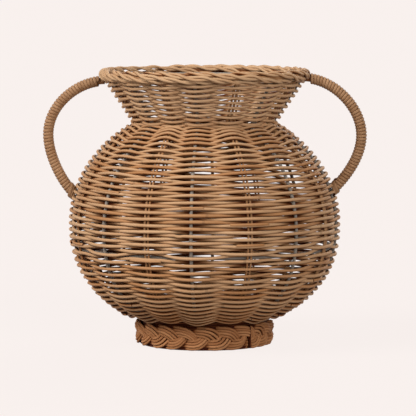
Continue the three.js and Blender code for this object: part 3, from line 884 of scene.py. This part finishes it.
class VASE_OT_foot(bpy.types.Operator):
    """Plait the foot"""

    bl_idname = "vase.foot"
    bl_label = "Plait the foot"

    def execute(self, context):
        form, cane, _ = sizes(context)
        middle = form.foot_radius - form.foot_thickness / 2
        depth = form.foot_thickness / 2 - PLAIT_CANE / 2
        rng = np.random.default_rng(cane.seed + 5)
        groups = [
            self.plait(form, middle, depth, rng),
            self.stitch(form, middle),
            self.backing(form, middle - depth),
        ]
        add_piece("foot_plait_canes", groups, finish(context, "plaited_cane"), "foot_plait", "foot_braid")
        return {"FINISHED"}

    @staticmethod
    def plait(form, middle, depth, rng):
        """Three strands of four canes, a third of a period apart. A strand's height goes as tanh(1.5 sin
        phase), and its canes lie side by side at right angles to its course. It passes behind and in
        front as sin(2 phase), its outer canes lie deeper, and the plait is flatter at the seam."""
        strands, each, periods, first_phase = 3, 4, 6.5, 1.1
        tightening, tight_reach = 1.6, 0.15  # extra phase past the seam, and over what angle it comes
        square, deeper, lift = 1.5, 0.0024, 0.0002
        flatter, flat_reach = 0.7, 0.4
        rise = form.foot_height / 2 - each * PLAIT_CANE / 2
        angle = FOOT_SEAM + np.linspace(0, TURN, 700)[None]
        tight = tightening * (1 - np.exp((FOOT_SEAM - angle) / tight_reach))
        apart = np.repeat(np.arange(strands), each)[:, None] * TURN / strands
        phase = first_phase + periods * angle + tight + apart
        phase = phase + 0.08 * np.sin(phase)
        offset = np.tile((np.arange(each) - (each - 1) / 2) * PLAIT_CANE, strands)[:, None]
        wave = rise * np.tanh(square * np.sin(phase)) / np.tanh(square)
        slope = np.gradient(wave, angle[0], axis=1) / middle
        slant = np.hypot(1, slope)
        turn = angle - offset * slope / slant / middle
        start, end = turn[:, :1], turn[:, -1:]
        turn = FOOT_SEAM + SEAM_SLIT / 2 + (turn - start) * (TURN - SEAM_SLIT) / (end - start)
        calm = 1 - flatter * bell(angle - FOOT_SEAM, flat_reach)
        bulge = deeper * (offset / (each * PLAIT_CANE / 2)) ** 2
        radius = middle - calm * (depth * np.sin(2 * phase) + bulge)
        path, normal = ring(radius, turn, form.foot_height / 2 + lift + wave + offset / slant)
        tone = rng.uniform(0.2, 0.8, (strands * each, 1))
        # Cover is 1 where a strand passes behind; the skin paints shade there.
        cover = (0.5 + 0.5 * np.sin(2 * phase)) ** 3
        return Tubes(path, normal, PLAIT_CANE * 0.52, tone=tone, cover=cover)

    @staticmethod
    def stitch(form, middle):
        """The upright stitch in the seam, in the darkest tone, with painted shade over its outer side."""
        proud, half_width, half_thick = 0.0015, 0.0011, 0.0014
        height = np.linspace(0.001, form.foot_height - 0.002, 12)[None]
        path, normal = ring(middle + proud, np.full_like(height, FOOT_SEAM), height)
        return Tubes(path, normal, half_width, half_thick, tone=0.0, cover=1.0)

    @staticmethod
    def backing(form, radius):
        """Dark rings behind the plait, in the darkest tone and with painted shade on their outer side, so
        that gaps in the plait and above it show dark as shade. The topmost binds the belly to the foot and is
        wider.
        """
        count, steps, wider, half_width, half_thick = 10, 200, 0.0035, 0.0018, 0.001
        level = np.linspace(0.0019, form.foot_height + 0.0048, count)[:, None]
        angle = np.broadcast_to(even_turn(steps), (count, steps))
        path, normal = ring(radius + np.where(level == level.max(), wider, 0.0), angle, level)
        return Tubes(path, normal, half_width, half_thick, closed=True, tone=0.0, cover=1.0)


def cubic(points, count=400):
    """A cubic curve from the first of four points to the last, drawn towards the two between."""
    share = np.linspace(0, 1, count)[:, None]
    weights = [(1 - share) ** 3, 3 * share * (1 - share) ** 2, 3 * share**2 * (1 - share), share**3]
    return sum(weight * point for weight, point in zip(weights, points))


def handle_line(context, side, count):
    """Points, tangents and length of a handle's middle line in the XZ plane, evenly spaced: two cubic
    curves, from the border out to the reach and back to the wall."""
    form, cane, profile = sizes(context)
    handle = context.scene.vase_handle
    drop, low_height = handle.top_drop, handle.low_height
    if side == "left":
        drop, low_height = drop + handle.left_top_sag, low_height - handle.left_low_sag
    border_radius = form.border_diameter / 2
    border_height = form.height - border_radius
    face = form.rim_radius + np.sqrt(border_radius**2 - handle.top_drop**2)
    top = np.array([face - handle.socket, border_height - drop])
    reach = np.array([form.belly_radius + handle.overhang, handle.reach_height])
    seat = np.array([profile.length_at(low_height)])
    (point,), (normal,) = profile.place(seat, np.array([TURN / 4]), 0)
    slope = np.array([np.cos(handle.low_slope), np.sin(handle.low_slope)])
    wall = np.array([normal[0], normal[2]])
    gap = cane.rod / 2 + CLEARANCE + handle.pole / 2 * np.sqrt(1 - (slope @ wall) ** 2)
    low = np.array([point[0], point[2]]) + wall * gap
    out, above, below, off = HANDLE_PULLS
    upper = [top, top + [handle.socket + out, 0], reach + [0, above], reach]
    lower = [reach, reach - [0, below], low + off * slope, low]
    line = np.concatenate([cubic(upper), cubic(lower)[1:]])
    run = run_length(line[None], False)[0]
    even = np.linspace(0, run[-1], count)
    points = np.stack([np.interp(even, run, line[:, 0]), 0 * even, np.interp(even, run, line[:, 1])], -1)
    return points, unit(np.gradient(points, axis=0)), run[-1]


def wound(line, start, end, turns, reach, steps):
    """Path and outward normals of a winding: point on the line + reach * (cos a across + sin a side),
    with a growing evenly along it."""
    points, tangents, total = line
    share = np.linspace(start, end, int(turns * steps)) / total
    place = np.linspace(0, 1, len(points))
    middle = np.stack([np.interp(share, place, points[:, axis]) for axis in range(3)], -1)
    tangent = unit(np.stack([np.interp(share, place, tangents[:, axis]) for axis in range(3)], -1))
    across = np.array([0.0, 1.0, 0.0])
    side = np.cross(tangent, across)
    angle = np.linspace(0, TURN * turns, len(share))[:, None]
    away = across * np.cos(angle) + side * np.sin(angle)
    return (middle + reach * away)[None], away[None]


def tie_loops(line, handle, reach):
    """Path and normals of the flat cane that ties a handle's lower end: slanting loops round the winding,
    which close in on the wall."""
    advance, slant, closing = 0.0026, 0.0028, 0.25  # metres a turn, metres, strip's thickness a turn
    points, tangents, _ = line
    along, across = tangents[-1], np.array([0.0, 1.0, 0.0])
    side = np.cross(along, across)
    turns = np.linspace(-0.3, 2.3, 110)[:, None]
    angle = turns * TURN
    step = advance * (turns - 2) + slant * np.sin(angle)
    loop = reach + handle.strip * (1 - closing * turns)
    away = across * np.cos(angle) + side * np.sin(angle)
    return (points[-1] + along * step + loop * away)[None], away[None]


class VASE_OT_handles(bpy.types.Operator):
    """Bend the handle poles, wind them with split cane and lash their lower ends"""

    bl_idname = "vase.handles"
    bl_label = "Make the handles"

    def execute(self, context):
        handle = context.scene.vase_handle
        self.handle(context, "right", handle.right_relief, 0.9)
        self.handle(context, "left", handle.left_relief, 0.85)
        return {"FINISHED"}

    @staticmethod
    def handle(context, side, relief, power):
        """One handle's pole, winding and lashing. Relief and power give the winding's section. The left
        handle is half a turn round the vase's axis from the right."""
        cane, handle = context.scene.vase_cane, context.scene.vase_handle
        steps, bare_top, bare_foot, slack = 22, 0.0025, 0.004, 0.0007
        skin = finish(context, "split_cane")
        line = handle_line(context, side, 2000)
        points, _, total = line
        pole = Tubes(points[None, ::25], (0, 1, 0), handle.pole / 2, sides=12)
        start, end = handle.socket + bare_top, total - bare_foot
        reach = handle.pole / 2 + slack + handle.strip / 2
        path, normal = wound(line, start, end, handle.turns, reach - relief / 3, steps)
        rng = np.random.default_rng(cane.seed + 9 + len(side))
        tone = np.repeat(rng.uniform(0.3, 0.75, handle.turns), steps)[None]
        width, height = (end - start) / handle.turns / 2, (handle.strip + relief) / 2
        strip = Tubes(path, normal, width, height, sides=12, tone=tone, power=power)
        path, normal = tie_loops(line, handle, reach)
        lash = Tubes(path, normal, handle.band / 2, handle.strip / 2, sides=12, tone=0.5, power=0.8)
        for tubes, name, slot, node in (
            (pole, "pole", "handle_core", "core"),
            (strip, "winding", "handle_cane", "wrap"),
            (lash, "lashing", "handle_cane", "lash"),
        ):
            if side == "left":
                tubes.points = tubes.points * np.array([-1.0, -1.0, 1.0])
            add_piece(f"{side}_{name}", [tubes], skin, slot, f"{side}_handle_{node}")


class VASE_OT_stage(bpy.types.Operator):
    """Set the floor, the light and the camera"""

    bl_idname = "vase.stage"
    bl_label = "Set the stage"

    def execute(self, context):
        look = context.scene.vase_stage
        self.floor(context, look)
        self.world(context, look)
        for lamp in LAMPS:
            self.lamp(context, *lamp)
        self.camera(context, look)
        context.scene.view_settings.view_transform = "Standard"
        return {"FINISHED"}

    @staticmethod
    def floor(context, look):
        """A large pale plane, clear from below: most of the light seen on it is its own, so that shadows
        on it stay faint."""
        size, paleness, glow_strength, own_share = 400.0, 0.35, 1.063, 0.9
        corners = [(-size, -size, 0), (size, -size, 0), (size, size, 0), (-size, size, 0)]
        mesh = bpy.data.meshes.new("floor")
        mesh.from_pydata(corners, [], [(0, 1, 2, 3)])
        graph = Graph(bpy.data.materials.new("pale_floor"))
        paint = [c * paleness for c in look.backdrop]
        graph.shape(Base_Color=paint, Roughness=0.9, Specular_IOR_Level=0.0)
        lit = Value(graph, graph.shader.outputs["BSDF"])
        glow = graph.node("ShaderNodeEmission", None, Color=look.backdrop[:], Strength=glow_strength)
        top = graph.blend(graph.in_view() * own_share, lit, glow("Emission"))
        under = graph.node("ShaderNodeNewGeometry")("Backfacing")
        clear = graph.node("ShaderNodeBsdfTransparent")("BSDF")
        graph.surface("Material Output", graph.blend(under, top, clear))
        mesh.materials.append(graph.owner)
        floor = bpy.data.objects.new("floor", mesh)
        context.scene.collection.objects.link(floor)

    @staticmethod
    def world(context, look):
        """Even soft light, with the backdrop's colour where it is in view."""
        context.scene.world = bpy.data.worlds.new("studio")
        graph = Graph(context.scene.world, "Background")
        graph.shape(Color=(1.0, 0.84, 0.68), Strength=0.08)
        light = Value(graph, graph.shader.outputs["Background"])
        backdrop = graph.node("ShaderNodeBackground", None, Color=look.backdrop[:])
        graph.surface("World Output", graph.blend(graph.in_view(), light, backdrop("Background")))

    @staticmethod
    def lamp(context, name, place, strength, angle):
        """A wide sun that shines from a place towards the vase."""
        light = bpy.data.lights.new(name, "SUN")
        light.energy, light.angle = strength, angle
        lamp = bpy.data.objects.new(name, light)
        lamp.location = place
        lamp.rotation_euler = Vector(place).to_track_quat("Z", "Y").to_euler()
        context.scene.collection.objects.link(lamp)

    @staticmethod
    def camera(context, look):
        """A long lens at the photograph's angle."""
        lens = bpy.data.cameras.new("camera")
        lens.lens, lens.sensor_width = look.lens, 36
        lens.clip_start, lens.clip_end = 0.1, 1000
        camera = bpy.data.objects.new("camera", lens)
        right = Vector((np.cos(look.azimuth), np.sin(look.azimuth), 0))
        back = Vector((np.sin(look.azimuth), -np.cos(look.azimuth), 0))
        aim = right * look.aim_right
        camera.location = aim + back * look.distance + Vector((0, 0, look.camera_height))
        sight = aim + Vector((0, 0, look.aim_height)) - camera.location
        camera.rotation_euler = sight.to_track_quat("-Z", "Y").to_euler()
        context.scene.collection.objects.link(camera)
        context.scene.camera = camera


class VASE_PT_pieces(bpy.types.Panel):
    """Sizes, colours and building steps of the vase"""

    bl_label = "Rattan Vase"
    bl_idname = "VASE_PT_pieces"
    bl_space_type = "VIEW_3D"
    bl_region_type = "UI"
    bl_category = "Vase"

    def draw(self, context):
        column = self.layout.column()
        for step in STEPS:
            column.operator(step.bl_idname)
        for name in GROUPS:
            group = getattr(context.scene, name)
            box = self.layout.box()
            for key in group.__annotations__:
                box.prop(group, key)


STEPS = (
    VASE_OT_frame,
    VASE_OT_stakes,
    VASE_OT_base,
    VASE_OT_weave,
    VASE_OT_border,
    VASE_OT_foot,
    VASE_OT_handles,
    VASE_OT_stage,
)
GROUPS = {
    "vase_form": VaseForm,
    "vase_cane": VaseCane,
    "vase_handle": VaseHandle,
    "vase_colours": VaseColours,
    "vase_stage": VaseStage,
}


def register():
    for kind in (*GROUPS.values(), *STEPS, VASE_PT_pieces):
        bpy.utils.register_class(kind)
    for name, kind in GROUPS.items():
        setattr(bpy.types.Scene, name, PointerProperty(type=kind))


def unregister():
    for name in GROUPS:
        delattr(bpy.types.Scene, name)
    for kind in (VASE_PT_pieces, *reversed(STEPS), *GROUPS.values()):
        bpy.utils.unregister_class(kind)


def main():
    register()
    bpy.ops.vase.frame()
    bpy.ops.vase.stakes()
    bpy.ops.vase.base()
    bpy.ops.vase.weave()
    bpy.ops.vase.border()
    bpy.ops.vase.foot()
    bpy.ops.vase.handles()
    bpy.ops.vase.stage()


if __name__ == "__main__":
    main()
